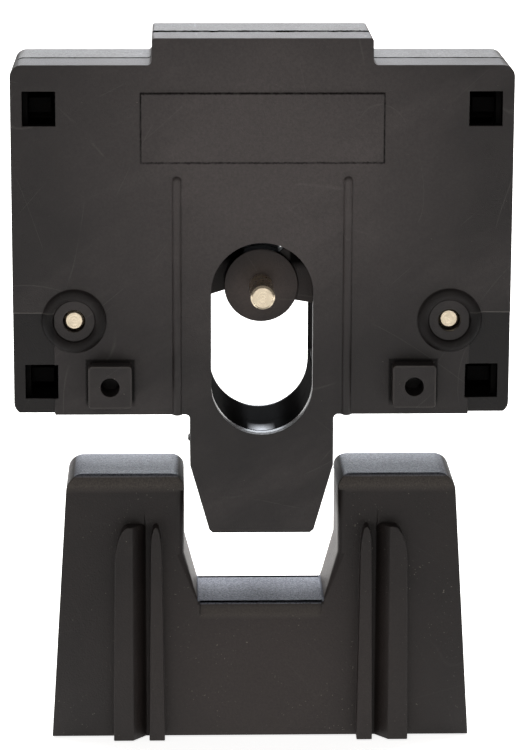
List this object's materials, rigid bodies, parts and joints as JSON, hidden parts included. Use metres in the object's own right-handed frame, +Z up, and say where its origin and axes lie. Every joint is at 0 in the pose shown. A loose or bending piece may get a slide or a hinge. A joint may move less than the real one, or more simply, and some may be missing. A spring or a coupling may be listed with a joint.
{
  "type": "contactor mechanical interlock with mounting block",
  "caption": "Slim two-lever mechanical interlock unit with a slotted body and tongue, above the U-shaped block that carries it.",
  "frame": {"origin": "middle of the foot of the mounting block", "axes": "+X to the right, +Y from the front face to the rear face, +Z up along the way the unit lifts off"},
  "size_m": [0.062, 0.0218, 0.0904],
  "materials": {
    "block_plastic": "fine matt moulded",
    "cover_plastic": "fine matt moulded",
    "lever_plastic": "satin moulded",
    "pin_steel": "turned and plated",
    "spring_steel": "bright wire"
  },
  "bodies": {
    "block": {"mounting_block": "block_plastic"},
    "unit": {"front_cover": "cover_plastic", "rear_cover": "cover_plastic", "right_axle": "pin_steel", "left_axle": "pin_steel", "right_return_spring": "spring_steel", "left_return_spring": "spring_steel"},
    "front_lever_body": {"front_lever": "lever_plastic", "front_drive_pin": "pin_steel"},
    "rear_lever_body": {"rear_lever": "lever_plastic", "rear_drive_pin": "pin_steel"},
    "roller_body": {"locking_roller": "pin_steel"}
  },
  "joints": [
    {"name": "unit_lift", "type": "slide", "parent": "block", "child": "unit", "axis": [0, 0, 1], "range_m": [-0.0083, 0.0075]},
    {"name": "front_lever_turn", "type": "hinge", "parent": "unit", "child": "front_lever_body", "pos_m": [0.0234, 0, 0.0551], "axis": [0, -1, 0], "range_deg": [0, 22], "stiffness_Nm_per_rad": 0.02, "springref_deg": -17.19, "deforming": ["right_return_spring"]},
    {"name": "rear_lever_turn", "type": "hinge", "parent": "unit", "child": "rear_lever_body", "pos_m": [-0.0234, 0, 0.0551], "axis": [0, 1, 0], "range_deg": [0, 22], "stiffness_Nm_per_rad": 0.02, "springref_deg": -17.19, "deforming": ["left_return_spring"]},
    {"name": "roller_shift", "type": "slide", "parent": "unit", "child": "roller_body", "axis": [1, 0, 0], "range_m": [-0.001, 0.001]}
  ]
}
